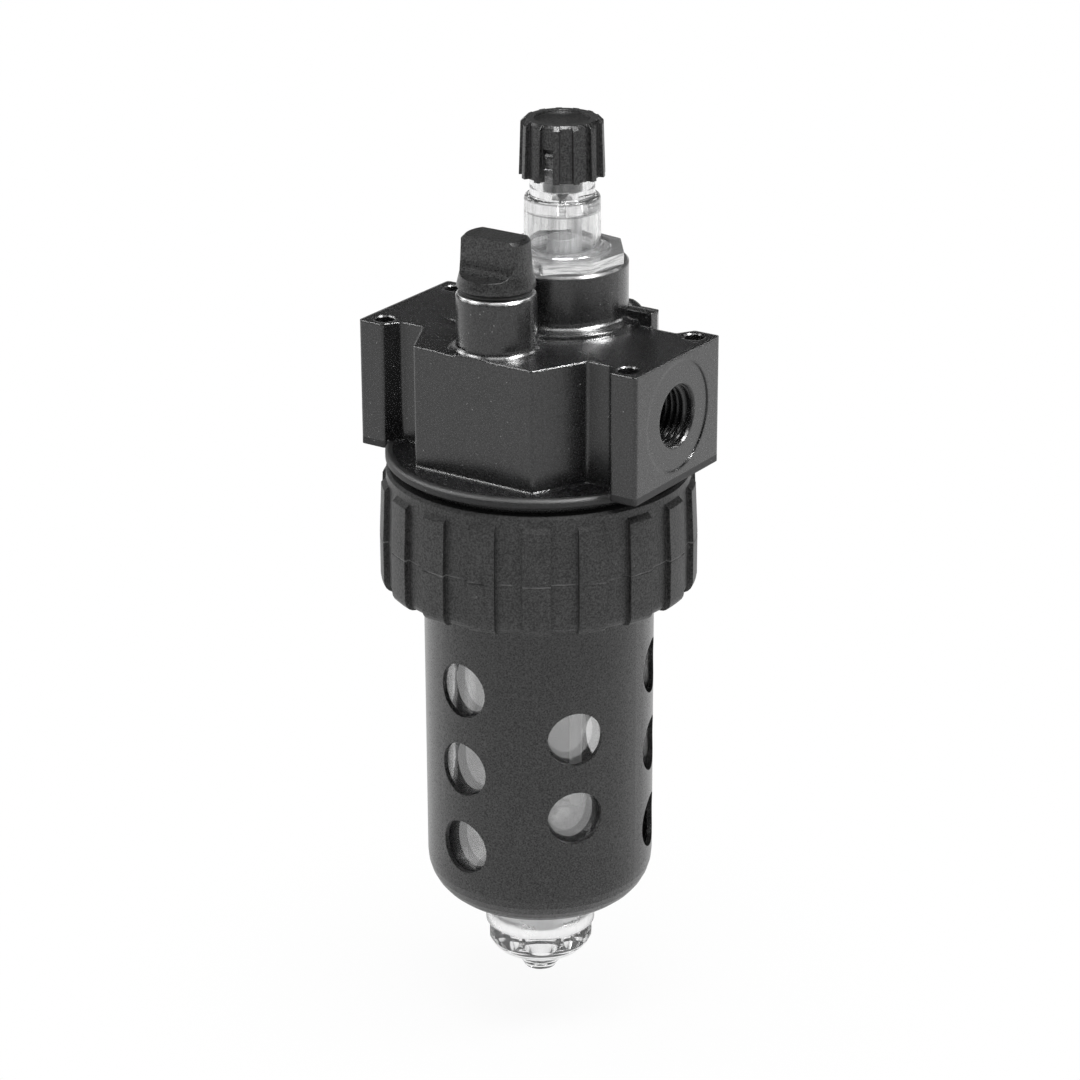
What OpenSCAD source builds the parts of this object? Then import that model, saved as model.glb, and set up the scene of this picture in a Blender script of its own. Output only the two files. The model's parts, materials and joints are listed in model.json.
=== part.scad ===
// Air line lubricator for a quarter inch air line, with a sight dome and a guarded clear bowl.
// The origin is the centre of the four bolt holes on the deck. X runs with the air, from the
// inlet on the left to the outlet on the right, and Z points up. All sizes are millimetres.

/* [Flange block] */
// Distance from the inlet face to the outlet face
flange_span = 69.2; // [66:0.2:76]
// Width of each flange from front to back
flange_width = 32.6; // [31:0.2:36]
// Thickness of each flange along the air line
flange_thick = 6.1; // [5:0.1:7]
// Height of the block, from its underside to the deck
block_height = 27.6; // [26:0.2:31]
// Half width of the waist between a flange and the prow
waist_half = 12.6; // [12:0.1:14]
// Half width of the prow where it leaves the waist
prow_root_half = 20.6; // [19:0.1:22]
// Half width of the prow at its flat front
prow_tip_half = 14.7; // [13:0.1:16]
// Distance of the prow's front from the air line
prow_reach = 24.2; // [23.6:0.1:26]
// Rounding of the block's upright edges
edge_round = 0.7; // [0.3:0.1:1.2]
// Depth of the shallow step beside the fill boss
step_depth = 0.8; // [0.4:0.1:1.4]
// Height of the low wall behind the tower
rear_wall_height = 3.1; // [2:0.1:5]
// Thickness of the low wall behind the tower
rear_wall_thick = 2.5; // [1.5:0.1:3.5]

/* [Ports and bolt holes] */
// Depth of the air line below the deck
port_depth = 12.9; // [12.4:0.1:14]
// Radius of the threaded ports, to the root of the thread
port_r = 6.58; // [6:0.02:7]
// Depth of the threaded ports
port_length = 13.5; // [12:0.5:15]
// Radius of the machined ring around each port
spot_r = 11.75; // [10:0.05:12.2]
// Depth of that machined ring
spot_depth = 0.25; // [0.1:0.05:0.5]
// Radius of the plain air passage between the ports
passage_r = 5.4; // [5.2:0.1:5.6]
// Radius of each bolt hole
bolt_r = 2.1; // [1.5:0.05:2.4]
// Depth of each bolt hole
bolt_depth = 12; // [8:0.5:16]
// Spacing of the bolt holes along the air line
bolt_spacing_x = 60.8; // [58:0.2:62]
// Spacing of the bolt holes from front to back
bolt_spacing_y = 25.4; // [22:0.2:26]

/* [Tower and sight dome] */
// Distance of the tower's axis behind the air line
tower_y = 9.3; // [9:0.1:10]
// Radius of the tower
tower_r = 14; // [13.5:0.1:15]
// Height of the tower above the deck
tower_height = 12.9; // [11:0.1:16]
// Radius of the round pad at the tower's foot
pad_r = 17; // [16.5:0.1:18]
// Height of that pad
pad_height = 1.2; // [0.8:0.1:1.6]
// Height of the floor inside the tower
tower_floor = 4; // [3:0.1:5]
// Radius of the bore that takes the dome's spigot
tower_bore_r = 10.4; // [10.2:0.1:11]
// Half the width of the dome's flange across its eight flats
dome_flats_r = 12.6; // [12:0.05:13]
// Direction of the first of those flats, from the right and turning left
dome_flats_turn = -8.3; // [-20:0.1:0]
// Thickness of the dome's flange at its rim
dome_flange_thick = 2.4; // [1.6:0.1:3]
// Outer radius of the clear dome
dome_r = 8.05; // [7.9:0.05:8.6]
// Wall of the clear dome
dome_wall = 1; // [0.7:0.05:1.1]
// Height of the dome's round part above the flange
dome_height = 11.6; // [10:0.1:14]
// Depth from the dome's shoulder to the ceiling inside
dome_crown = 3.2; // [2.8:0.1:4]
// Radius of the dome's neck
neck_r = 6.88; // [6.6:0.02:7.1]
// Length of the neck that shows below the knob
neck_show = 4; // [3:0.1:6]

/* [Adjusting knob and needle] */
// Radius of the knob's ribs at the bottom
knob_r = 9.07; // [8.9:0.01:9.6]
// Radius of the knob's ribs at the top
knob_top_r = 8.68; // [8.4:0.01:8.8]
// Height of the knob
knob_height = 12.1; // [11.8:0.1:14]
// Number of ribs round the knob
knob_ribs = 13; // [10:1:16]
// Depth of the valleys between the ribs
knob_valley = 1.05; // [0.8:0.05:1.15]
// Width of each rib
knob_rib_width = 1.3; // [1.1:0.1:1.9]
// Direction of the first rib, from the right and turning left
knob_turn = -64.9; // [-90:0.1:-40]
// Radius of the needle where it runs in the neck
needle_r = 4.05; // [3.6:0.01:4.3]
// Width of the square that drives the needle
needle_square = 5; // [4:0.1:5.4]

/* [Fill boss and plug] */
// Distance of the fill boss in front of the air line
boss_y = 15.2; // [15:0.1:15.6]
// Radius of the fill boss
boss_r = 8.4; // [8.3:0.05:8.6]
// Height of the fill boss above the deck
boss_height = 12; // [10:0.1:14]
// Radius of the threaded hole for the plug
fill_bore_r = 5.9; // [5.2:0.05:6.1]
// Radius of the oil hole below the plug
fill_hole_r = 3.2; // [2.4:0.1:3.6]
// Radius of the plug's skirt
plug_skirt_r = 8.2; // [8:0.05:8.4]
// Height of the plug's skirt
plug_skirt_height = 2.8; // [2.2:0.1:3.4]
// Radius of the plug's grip
plug_grip_r = 7.5; // [7:0.05:7.7]
// Height of the whole plug above its seal
plug_height = 10.8; // [9:0.1:13]
// Thickness of the blade that the fingers turn
plug_blade = 6.6; // [5:0.1:7.4]
// Length of the plug's shank below the skirt
plug_shank = 9; // [8:0.1:9.8]

/* [Clamp ring] */
// How far the disc above the ring stands back from the ring's outside
disc_step = 0.4; // [0.2:0.1:0.8]
// Thickness of that disc
disc_thick = 2; // [1.6:0.1:2.6]
// Wall of the body's threaded neck
neck_wall = 5.1; // [4.6:0.1:5.6]
// Shadow gap between the disc and the ring
ring_gap = 1.7; // [1:0.1:2.4]
// Height of the clamp ring
ring_height = 26.5; // [26:0.1:30]
// Wall of the ring between its lugs, at the widest
ring_wall = 3; // [2.6:0.05:4]
// Height of the lugs above the ring
lug_rise = 1.1; // [0.6:0.05:1.6]
// Number of lugs round the ring
lug_count = 18; // [12:1:24]
// Angle that each lug takes up
lug_angle = 10; // [7:0.5:12]
// Direction of the first lug, from the right and turning left
ring_turn = -56.9; // [-90:0.1:0]
// Thickness of the lip that holds the guard up
ring_lip = 6.9; // [4:0.1:8]

/* [Bowl and guard] */
// Outer radius of the bowl's tube
bowl_r = 22.8; // [22.4:0.05:23]
// Wall of the bowl
bowl_wall = 2.6; // [2.2:0.1:3]
// How far the bowl's spigot stands out from its tube, inside the body
spigot_step = 1.8; // [1.6:0.05:2.2]
// Length of that spigot
spigot_length = 6.8; // [6.4:0.1:7.4]
// Clearance between the flanges of bowl and guard and the ring's bore
lip_gap = 0.7; // [0.3:0.1:1]
// Thickness of the bowl's flange
bowl_lip = 2.7; // [2:0.1:3.4]
// Radius of the clear boss under the bowl
bowl_boss_r = 12.1; // [11.6:0.1:12.8]
// Height of the clear boss's plain band below the bowl
boss_band = 9.3; // [8:0.1:10]
// Depth at which the clear boss starts to round off, below the bowl
boss_straight = 10.4; // [9:0.1:13]
// Radius of the clear boss's rounded end
boss_end_r = 7; // [6:0.1:7.4]
// Half the width of the clear boss across its eight flats
boss_flats_r = 11.3; // [11:0.05:12]
// Direction of the first of those flats, from the right and turning left
boss_flats_turn = -9.8; // [-20:0.1:0]
// Length of the clear boss from that rounding's start to the nub's end
nub_reach = 11.4; // [10:0.1:13]
// Radius of the nub under the clear boss
nub_r = 4.3; // [3.6:0.1:5]
// Space between the bowl and the guard
guard_gap = 0.9; // [0.6:0.05:1.2]
// Wall of the guard
guard_wall = 1.1; // [0.9:0.05:1.3]
// Depth of the guard's bottom below the deck
guard_bottom = 130.5; // [128:0.5:140]
// Radius of the guard's lower corner
guard_corner = 10; // [9:0.1:12]
// Thickness of the guard's flange
guard_lip = 1.6; // [1:0.1:2.2]
// Radius of each window in the guard
window_r = 6.05; // [5:0.05:6.6]
// Spacing of the windows down a column
window_pitch = 18.5; // [16:0.1:19]
// Depth of the middle of the window columns below the deck
window_depth = 93.4; // [92:0.1:98]
// Direction of the first window column, from the right and turning left
window_turn = -98; // [-110:0.5:-80]

/* [Oil and air parts] */
// Distance from the tower's axis to the oil riser and the siphon tube
riser_offset = 5.6; // [5.4:0.05:5.7]
// Outer radius of the siphon tube
siphon_r = 1.4; // [1.2:0.05:1.6]
// Bore radius of the siphon tube
siphon_bore_r = 0.9; // [0.7:0.05:1]
// Depth of the siphon tube's lower end below the deck
siphon_end = 116; // [110:0.5:120]
// Radius of the siphon fitting inside the body
fitting_r = 2.95; // [2.8:0.05:3]
// Radius of the check ball in the siphon fitting
ball_r = 1.25; // [1.1:0.05:1.35]
// Travel of that ball
ball_travel = 1; // [0.6:0.1:1.2]
// Distance of the flow guide's axis behind the air line
guide_y = 2.4; // [2.2:0.1:2.5]
// Radius of the flow guide
guide_r = 8.15; // [8.1:0.05:8.3]
// Radius of the throat in the flow guide
throat_r = 3.7; // [3:0.1:3.9]
// Radius of the flap that closes the throat
flap_r = 4.5; // [4.2:0.1:4.6]
// Thickness of the flap
flap_thick = 0.7; // [0.5:0.05:0.8]
// Radius of the flap's pin
flap_pin_r = 0.5; // [0.4:0.05:0.55]
// Depth of the oil chamber's ceiling below the deck
cavity_top = 30; // [29.5:0.1:31]
// Width of the ledge between the bowl's spigot and the oil chamber in the body
chamber_ledge = 3.2; // [2.4:0.1:3.4]
// Thickness of the retaining plate
plate_thick = 1.2; // [0.8:0.1:1.6]
// Distance of the check valve on the inlet side of the flow guide's axis
valve_x = 13; // [12.8:0.1:13.6]
// Radius of the check valve's bore
valve_bore_r = 3.2; // [3:0.05:3.3]
// Travel of the check valve
valve_travel = 1.2; // [0.8:0.1:1.6]
// Turns of the check valve's spring
spring_turns = 5; // [4:1:7]

/* [Fits] */
// Clearance around parts that slide or turn in a bore
running_gap = 0.05; // [0.02:0.01:0.08]
// Clearance around the clamp ring's thread
thread_gap = 0.1; // [0.05:0.01:0.1]
// Thickness of an O-ring in a groove
cord_r = 0.6; // [0.5:0.05:0.65]

/* [Hidden] */
$fn = 96;

// Overshoot of a cut past the face that it opens
past = 1;
// Small gap between faces that rest on each other across two bodies
seat_gap = 0.1;
// Room left for an O-ring in the depth of its groove
cord_gap = 0.02;

// Block
half_span = flange_span / 2;
half_width = flange_width / 2;
waist_slant = 2.3;
rear_wall_half = prow_root_half - 0.6;
disc_bottom = block_height + 0.8;
step_slope = [-2, 3.3, 0];
port_mouth_r = port_r + 0.27;
bolt_mouth_r = bolt_r + 0.3;
fillet_r = 1.5;

// Tower, dome, needle and knob, as heights above the deck
dome_seat = tower_height;
dome_top = dome_seat + dome_flange_thick + dome_height;
dome_cavity_r = dome_r - dome_wall;
dome_ceiling = dome_top - dome_crown;
neck_shoulder = dome_top + neck_show;
neck_inside = 5.4;
neck_top = neck_shoulder + neck_inside;
spigot_top_r = tower_bore_r - 2 * running_gap;
flange_top = dome_seat + dome_flange_thick;
dome_step_z = flange_top + 0.5;
flats_round = 1.2;
dome_groove = 4.2;
knob_bottom = neck_shoulder + 0.2;
knob_top = knob_bottom + knob_height;
knob_bore_r = neck_r + thread_gap;
snap_height = 1.2;
snap_place = knob_bottom + 2.4;
snap_depth = 0.4;
knob_floor = neck_top + 0.4;
square_gap = 0.1;
slot_width = 2.2;
slot_height = 7;
needle_bore_r = needle_r + running_gap;
needle_lift = 2;
needle_shoulder = dome_ceiling + 4.6;
seat_height = dome_ceiling + 2.6;
seat_r = 0.8;
needle_shaft_r = 1.6;
needle_tip_r = 0.3;
needle_slope = 0.605;
needle_cone_start = seat_height - (seat_r - running_gap - needle_tip_r) / needle_slope;
needle_cone_top = needle_cone_start + (needle_shaft_r - needle_tip_r) / needle_slope;
needle_top = knob_floor - needle_lift - 0.3;
square_top = knob_top - 1.2 - needle_lift - 0.4;
needle_cord_r = 0.42;
needle_groove = needle_shoulder + 1.8;
cup_r = 3.4;
cup_rim = dome_seat + 4.7;
riser_r = 1.2;
riser_bore_r = 0.6;
riser_top = dome_ceiling + 1.4;

// Fill plug
plug_seal_r = cord_r;
plug_bottom = boss_height + 2 * plug_seal_r;
plug_top = plug_bottom + plug_height;
grip_bottom = plug_bottom + plug_skirt_height;
scoop_r = 3.2;
fill_floor = boss_height - plug_shank - 1;

// Radii that follow from the bowl's: its spigot, the body's neck, the ring and the disc
spigot_r = bowl_r + spigot_step;
body_spigot_r = spigot_r + thread_gap;
body_neck_r = body_spigot_r + neck_wall;
ring_bore_r = body_neck_r + thread_gap;
ring_r = ring_bore_r + ring_wall;
disc_r = ring_r - disc_step;
lip_r = ring_bore_r - lip_gap;
cavity_r = body_spigot_r - chamber_ledge;

// Clamp ring, bowl and guard, as heights, so below the deck they are negative
ring_top = -disc_bottom - ring_gap;
ring_bottom = ring_top - ring_height;
ring_part = ring_top - 0.56 * ring_height;
lip_face = ring_bottom + ring_lip;
guard_face = lip_face + seat_gap;
guard_top = guard_face + guard_lip;
bowl_lip_bottom = guard_top;
bowl_lip_top = bowl_lip_bottom + bowl_lip;
neck_bottom = bowl_lip_top + seat_gap;
spigot_top = bowl_lip_top + spigot_length;
bowl_cord_r = 0.8;
bowl_groove = bowl_lip_top + spigot_length / 2 - 0.2;
bowl_inner_r = bowl_r - bowl_wall;
bowl_corner = guard_corner - guard_wall;
bowl_floor = -guard_bottom + guard_wall + 0.5;
boss_end_z = bowl_floor - boss_straight;
bowl_tip = boss_end_z - nub_reach;
flats_top = bowl_floor - boss_band;
guard_inner_r = bowl_r + guard_gap;
guard_r = guard_inner_r + guard_wall;
guard_hole_r = bowl_boss_r + 0.5;
guard_lip_bore = guard_r + 0.6;
ring_corner = 2.6;
lug_start = 2.2;

// Flow guide, flap and plate
air_z = -port_depth;
guide_top = -port_depth + passage_r + 2.4;
guide_bottom = -cavity_top;
guide_bore_r = guide_r + running_gap;
throat_start = -4;
throat_end = 1.2;
flap_gap = 0.1;
chamber_r = passage_r - 0.1;
flap_x = throat_end + flap_gap;
flap_pin_x = flap_x + 1;
flap_pin_z = air_z + flap_r + 0.7;
knuckle_r = 1;
knuckle_half = 1.7;
pocket_half = knuckle_half + 0.3;
plate_top = -cavity_top - running_gap;
plate_bottom = plate_top - plate_thick;
plate_r = cavity_r - 0.5;
screw_r = 1.45;
screw_head_r = 2.6;
screw_head = 1.8;
screw_reach = 6.2;
screw_places = [[15, -6], [-11, 13]];

drip_hole_r = 1.25;
drip_channel_r = 0.8;
guide_recess_r = 3;

// Siphon
siphon_y = tower_y + riser_offset;
fitting_bore_r = fitting_r + running_gap;
fitting_top = -cavity_top + 5.8;
ball_seat = -cavity_top + 0.5;
ball_seat_r = 0.8;
ball_z = ball_seat + sqrt(ball_r * ball_r - ball_seat_r * ball_seat_r) + 0.02;
ball_roof = ball_z + ball_r + ball_travel + running_gap;
fitting_end = plate_bottom - 9.8;
tube_top = plate_bottom - 3.4;
feed_r = 0.9;

// Check valve
valve_seat = -cavity_top + 7.5;
valve_hole_r = 1.5;
poppet_r = valve_bore_r - 0.5;
poppet_head = 1.4;
poppet_stem_r = 1.1;
spring_wire_r = 0.22;
spring_r = poppet_stem_r + spring_wire_r + 0.35;

function unit(v) = v / norm(v);
// Points of an arc round c, from angle a0 to a1
function arc(c, r, a0, a1, n = 6) =
    [for (i = [0:n]) c + r * [cos(a0 + (a1 - a0) * i / n), sin(a0 + (a1 - a0) * i / n)]];
// The corner p between a and b, rounded with radius r
function corner(p, a, b, r) =
    let (u = unit(a - p), v = unit(b - p), half = acos(u * v) / 2,
         c = p + unit(u + v) * r / sin(half),
         s = p + u * r / tan(half), e = p + v * r / tan(half),
         a0 = atan2(s[1] - c[1], s[0] - c[0]), a1 = atan2(e[1] - c[1], e[0] - c[0]),
         sweep = ((a1 - a0 + 540) % 360) - 180)
    arc(c, r, a0, a0 + sweep, 3);
function rounded(pts, r) =
    let (n = len(pts)) [for (i = [0:n - 1]) each corner(pts[i], pts[(i + n - 1) % n], pts[(i + 1) % n], r)];

// A profile of radius and height, turned round an upright axis at x, y
module turned(pts, x = 0, y = 0) {
    translate([x, y, 0]) rotate_extrude() polygon(pts);
}

// An upright cylinder from height z0 to z1
module post(r, z0, z1, x = 0, y = 0) {
    translate([x, y, z0]) cylinder(r = r, h = z1 - z0);
}

// An O-ring at height z with its middle circle at radius r
module o_ring(r, wire, z, x = 0, y = 0) {
    translate([x, y, z]) rotate_extrude() translate([r, 0]) circle(r = wire, $fn = 24);
}

// The outline of the block, seen from above
function block_outline() =
    let (q = [[half_span, half_width], [half_span - flange_thick, half_width],
              [half_span - flange_thick - waist_slant, waist_half],
              [prow_root_half, waist_half], [prow_tip_half, prow_reach]],
         m = [for (i = [len(q) - 1:-1:0]) q[i]])
    concat(q, [for (v = m) [-v[0], v[1]]], [for (v = q) [-v[0], -v[1]]], [for (v = m) [v[0], -v[1]]]);

// The corners of an octagon with that half width across its flats
function eight_sides(half) = [for (i = [0:7]) half / cos(22.5) * [cos(45 * i + 22.5), sin(45 * i + 22.5)]];

// The raised foot of a round tower: a pad, a hollow fillet and the wall
function tower_profile(r, base_r, base_h, height, fillet) =
    concat([[0, -step_depth - past], [max(base_r + 0.4, r + fillet), -step_depth - past],
            [max(base_r + 0.4, r + fillet), 0], [max(base_r, r + fillet), base_h]],
           arc([r + fillet, base_h + fillet], fillet, 270, 180, 5),
           [[r, height - 0.5], [r - 0.5, height], [0, height]]);

// The bore of one port, from its mouth inwards along X
module port_cut() {
    rotate([0, -90, 0]) rotate_extrude()
        polygon([[0, -past], [spot_r, -past], [spot_r, spot_depth], [port_mouth_r, spot_depth],
                 [port_r, spot_depth + 0.5], [port_r, port_length],
                 [passage_r, port_length + 1], [passage_r, half_span], [0, half_span]]);
}

module body() {
    color([0.16, 0.16, 0.17]) difference() {
        union() {
            translate([0, 0, -block_height]) linear_extrude(block_height)
                polygon(rounded(block_outline(), edge_round));
            intersection() {
                union() {
                    turned(tower_profile(tower_r, pad_r, pad_height, tower_height, fillet_r), 0, tower_y);
                    turned(tower_profile(boss_r, boss_r, 0, boss_height, fillet_r), 0, -boss_y);
                }
                translate([0, 0, -block_height]) linear_extrude(block_height + tower_height + boss_height)
                    polygon(rounded(block_outline(), edge_round));
            }
            translate([-rear_wall_half, waist_half, -past])
                cube([2 * rear_wall_half, rear_wall_thick, rear_wall_height + past]);
            turned([[0, -disc_bottom + disc_thick], [disc_r - 0.5, -disc_bottom + disc_thick],
                    [disc_r, -disc_bottom + disc_thick - 0.5], [disc_r, -disc_bottom + 0.4],
                    [disc_r - 0.4, -disc_bottom], [body_neck_r, -disc_bottom],
                    [body_neck_r, neck_bottom + 0.6], [body_neck_r - 0.6, neck_bottom], [0, neck_bottom]]);
        }
        step_cut();
        for (side = [0, 1]) mirror([side, 0, 0]) translate([half_span, 0, air_z]) port_cut();
        bolt_cuts();
        post(guide_bore_r, -cavity_top - past, guide_top, 0, guide_y);
        turned([[0, neck_bottom - past], [body_spigot_r + 0.4, neck_bottom - past],
                [body_spigot_r + 0.4, neck_bottom], [body_spigot_r, neck_bottom + 0.6],
                [body_spigot_r, spigot_top + 0.8], [cavity_r, spigot_top + 0.8],
                [cavity_r, -cavity_top], [0, -cavity_top]]);
        post(tower_bore_r, tower_floor, tower_height + past, 0, tower_y);
        post(drip_hole_r, guide_top - past, tower_floor + past, 0, tower_y);
        post(feed_r, fitting_top - past, tower_floor + past, 0, siphon_y);
        post(fitting_bore_r, -cavity_top - past, fitting_top + 0.2, 0, siphon_y);
        post(fill_bore_r, fill_floor, boss_height + past, 0, -boss_y);
        post(fill_hole_r, -cavity_top - past, fill_floor + past, 0, -boss_y);
        post(valve_bore_r, -cavity_top - past, valve_seat, -valve_x, 0);
        post(valve_hole_r, valve_seat - past, air_z, -valve_x, 0);
        for (p = screw_places) post(screw_r + running_gap, -cavity_top - past, -cavity_top + screw_reach + 0.8,
                                       p[0], p[1]);
    }
}

// The shallow step in the prow's deck on the inlet side of the fill boss. Its floor slopes up
// and runs out at the prow's left edge and front.
module step_cut() {
    step_x = half_span - flange_thick - waist_slant - 1.4;
    step_y = boss_y - boss_r - fillet_r - 0.1;
    difference() {
        translate([-boss_r, -step_y, -step_depth]) rotate(step_slope) translate([boss_r, step_y, 0])
            linear_extrude(step_depth + past)
                polygon([[-step_x, -step_y], [-step_x - 0.6, -step_y - 2.1], [-prow_root_half, -waist_half],
                         [-prow_root_half - past, -prow_reach - past], [-2, -prow_reach - past],
                         [-2, -boss_y], [-boss_r, -step_y]]);
        post(boss_r + fillet_r, -step_depth - past, past, 0, -boss_y);
    }
}

module bolt_cuts() {
    for (x = [-1, 1], y = [-1, 1])
        turned([[0, -bolt_depth - 1], [bolt_r, -bolt_depth], [bolt_r, -0.3], [bolt_mouth_r, 0],
                [bolt_mouth_r, past], [0, past]], x * bolt_spacing_x / 2, y * bolt_spacing_y / 2);
}

module sight_dome() {
    groove_r = spigot_top_r - 2 * cord_r - cord_gap;
    color([0.86, 0.9, 0.92, 0.5]) difference() {
        union() {
            translate([0, tower_y, dome_seat]) rotate(dome_flats_turn) linear_extrude(dome_flange_thick)
                polygon(rounded(eight_sides(dome_flats_r), flats_round));
            turned(concat(
                [[0, tower_floor + 0.3], [spigot_top_r, tower_floor + 0.3],
                 [spigot_top_r, tower_floor + dome_groove], [groove_r, tower_floor + dome_groove],
                 [groove_r, tower_floor + dome_groove + 2.2 * cord_r],
                 [spigot_top_r, tower_floor + dome_groove + 2.2 * cord_r],
                 [spigot_top_r, dome_step_z - 0.3], [spigot_top_r - 0.3, dome_step_z],
                 [dome_r + 1, dome_step_z]],
                arc([dome_r + 1, dome_step_z + 0.95], 0.95, 270, 190, 5),
                arc([dome_r - 0.9, dome_top - 0.9], 0.9, 0, 90, 5),
                [[neck_r + 0.3, dome_top], [neck_r, dome_top + 0.3], [neck_r, snap_place],
                 [neck_r - snap_depth, snap_place + 0.2], [neck_r - snap_depth, snap_place + snap_height],
                 [neck_r, snap_place + snap_height + 0.2], [neck_r, neck_top - 0.4],
                 [neck_r - 0.4, neck_top], [0, neck_top]]), 0, tower_y);
        }
        post(dome_cavity_r, tower_floor - past, dome_ceiling, 0, tower_y);
        post(needle_bore_r, needle_shoulder - 0.2, neck_top + past, 0, tower_y);
        post(needle_shaft_r + 0.6, seat_height, needle_shoulder, 0, tower_y);
        post(seat_r, dome_ceiling - past, seat_height + past, 0, tower_y);
        post(riser_r + running_gap, dome_ceiling - past, riser_top + 0.1, 0, siphon_y);
        translate([0, siphon_y, riser_top + 0.6]) rotate([90, 0, 0])
            cylinder(r = 0.5, h = riser_offset - needle_shaft_r);
        post(0.5, riser_top - past, riser_top + 1.1, 0, siphon_y);
    }
}

module dome_seal() {
    color([0.1, 0.1, 0.1])
        o_ring(spigot_top_r - cord_r - cord_gap / 2, cord_r, tower_floor + dome_groove + 1.1 * cord_r,
               0, tower_y);
}

module drip_guide() {
    base = tower_floor + 2.4;
    guide_seat_r = dome_cavity_r - running_gap;
    color([0.88, 0.9, 0.9, 0.7]) difference() {
        union() {
            turned([[0, tower_floor], [guide_seat_r, tower_floor], [guide_seat_r, base],
                    [cup_r, base], [cup_r, cup_rim], [0, cup_rim]], 0, tower_y);
            post(riser_r, tower_floor, riser_top, 0, siphon_y);
        }
        turned([[0, tower_floor - past], [1, tower_floor - past], [1, cup_rim - 4.4],
                [cup_r - 0.7, cup_rim - 2], [cup_r - 0.7, cup_rim + past], [0, cup_rim + past]], 0, tower_y);
        post(riser_bore_r, tower_floor - past, riser_top + past, 0, siphon_y);
    }
}

module needle_valve() {
    groove_r = needle_r - 2 * needle_cord_r - cord_gap;
    color([0.5, 0.5, 0.48]) {
        turned([[0, needle_cone_start], [needle_tip_r, needle_cone_start],
                [needle_shaft_r, needle_cone_top], [needle_shaft_r, needle_shoulder],
                [needle_r, needle_shoulder], [needle_r, needle_groove], [groove_r, needle_groove],
                [groove_r, needle_groove + 2.2 * needle_cord_r],
                [needle_r, needle_groove + 2.2 * needle_cord_r], [needle_r, needle_top - 0.3],
                [needle_r - 0.3, needle_top], [0, needle_top]], 0, tower_y);
        translate([-needle_square / 2, tower_y - needle_square / 2, needle_top - 0.01])
            cube([needle_square, needle_square, square_top - needle_top + 0.01]);
    }
}

module needle_seal() {
    color([0.1, 0.1, 0.1])
        o_ring(needle_r - needle_cord_r - cord_gap / 2, needle_cord_r,
               needle_groove + 1.1 * needle_cord_r, 0, tower_y);
}

module adjusting_knob() {
    core_r = knob_r - knob_valley;
    core_top_r = knob_top_r - knob_valley + 0.2;
    rib_root_r = knob_bore_r + 0.2;
    slot_turn = knob_turn - 180 / knob_ribs;
    color([0.11, 0.11, 0.12]) difference() {
        union() {
            turned([[0, knob_bottom], [core_r, knob_bottom], [core_top_r, knob_top - 0.6],
                    [core_top_r - 0.4, knob_top], [0, knob_top]], 0, tower_y);
            intersection() {
                turned([[0, knob_bottom], [knob_r, knob_bottom], [knob_top_r, knob_top - 0.9],
                        [knob_top_r - 0.9, knob_top], [0, knob_top]], 0, tower_y);
                translate([0, tower_y, knob_bottom]) for (i = [0:knob_ribs - 1])
                    rotate(knob_turn + i * 360 / knob_ribs)
                        translate([rib_root_r, -knob_rib_width / 2, 0])
                            cube([knob_r + past, knob_rib_width, knob_height]);
            }
        }
        turned([[0, knob_bottom - past], [knob_bore_r, knob_bottom - past], [knob_bore_r, snap_place + 0.2],
                [knob_bore_r - snap_depth, snap_place + 0.4],
                [knob_bore_r - snap_depth, snap_place + snap_height - 0.2],
                [knob_bore_r, snap_place + snap_height], [knob_bore_r, knob_floor], [0, knob_floor]],
               0, tower_y);
        translate([-needle_square / 2 - square_gap, tower_y - needle_square / 2 - square_gap, knob_floor - past])
            cube([needle_square + 2 * square_gap, needle_square + 2 * square_gap,
                  knob_top - 1.2 - knob_floor + past]);
        turned([[0, knob_top - 0.5], [core_top_r - 2, knob_top - 0.5], [core_top_r - 1.5, knob_top + past],
                [0, knob_top + past]], 0, tower_y);
        translate([0, tower_y, knob_bottom - past]) rotate(slot_turn)
            translate([neck_r - past, -slot_width / 2, 0]) cube([knob_r, slot_width, slot_height + past]);
    }
}

// One scoop beside the plug's blade, with a hollow floor
module plug_scoop() {
    reach = plug_skirt_r;
    face = plug_blade / 2;
    rotate([90, 0, 90]) translate([0, 0, -reach - past]) linear_extrude(2 * reach + 2 * past)
        polygon(concat([[face, plug_top + past]],
                       arc([face + scoop_r, grip_bottom + scoop_r], scoop_r, 180, 250, 6),
                       [[reach + past, grip_bottom - 0.5], [reach + past, plug_top + past]]));
}

module fill_plug() {
    color([0.11, 0.11, 0.12]) difference() {
        union() {
            turned([[0, boss_height - plug_shank], [fill_bore_r - 0.6, boss_height - plug_shank],
                    [fill_bore_r - running_gap, boss_height - plug_shank + 0.6],
                    [fill_bore_r - running_gap, plug_bottom], [plug_skirt_r - 0.3, plug_bottom],
                    [plug_skirt_r, plug_bottom + 0.3], [plug_skirt_r - 0.1, plug_bottom + 1],
                    [plug_grip_r, grip_bottom + 0.6], [plug_grip_r - 0.3, plug_top - 0.8],
                    [plug_grip_r - 1.1, plug_top], [0, plug_top]], 0, -boss_y);
        }
        for (side = [0, 1]) translate([0, -boss_y, 0]) mirror([0, side, 0]) plug_scoop();
        post(2.4, boss_height - plug_shank - past, plug_bottom, 0, -boss_y);
    }
}

module fill_plug_seal() {
    color([0.08, 0.08, 0.08])
        o_ring(fill_bore_r + plug_seal_r + 0.35, plug_seal_r - 0.02, boss_height + plug_seal_r, 0, -boss_y);
}

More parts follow.
